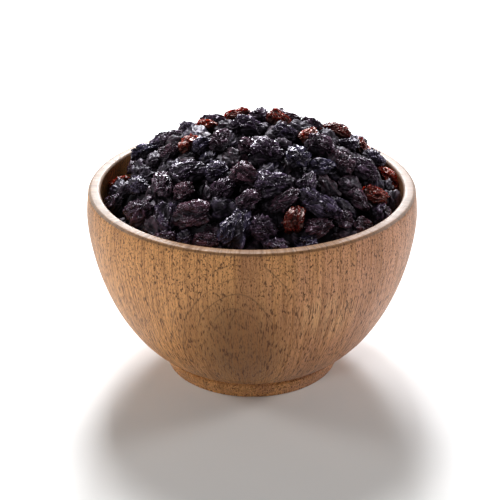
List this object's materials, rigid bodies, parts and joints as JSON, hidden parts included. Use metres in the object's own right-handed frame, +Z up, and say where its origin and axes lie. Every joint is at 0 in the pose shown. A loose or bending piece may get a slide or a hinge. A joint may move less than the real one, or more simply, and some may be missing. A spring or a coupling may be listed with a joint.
{
  "type": "bowl of raisins",
  "caption": "Small turned wooden bowl on a plain ring foot, filled with dark raisins heaped above its rim.",
  "frame": {"origin": "middle of the flat underside of the bowl's foot", "axes": "+Z up through the bowl's axis, -Y towards the front of the picture's view, +X to its right"},
  "size_m": [0.12, 0.12, 0.0938],
  "materials": {
    "wood": "satin",
    "dark_skin": "satin",
    "red_skin": "satin"
  },
  "bodies": {
    "root": {"bowl": "wood", "raisin_heap": "dark_skin", "raisin_red_01": "red_skin", "raisin_red_02": "red_skin", "raisin_red_03": "red_skin", "raisin_red_04": "red_skin", "raisin_red_05": "red_skin", "raisin_red_06": "red_skin", "raisin_red_07": "red_skin", "raisin_red_08": "red_skin", "raisin_red_09": "red_skin", "raisin_red_10": "red_skin", "raisin_red_11": "red_skin"}
  },
  "joints": []
}
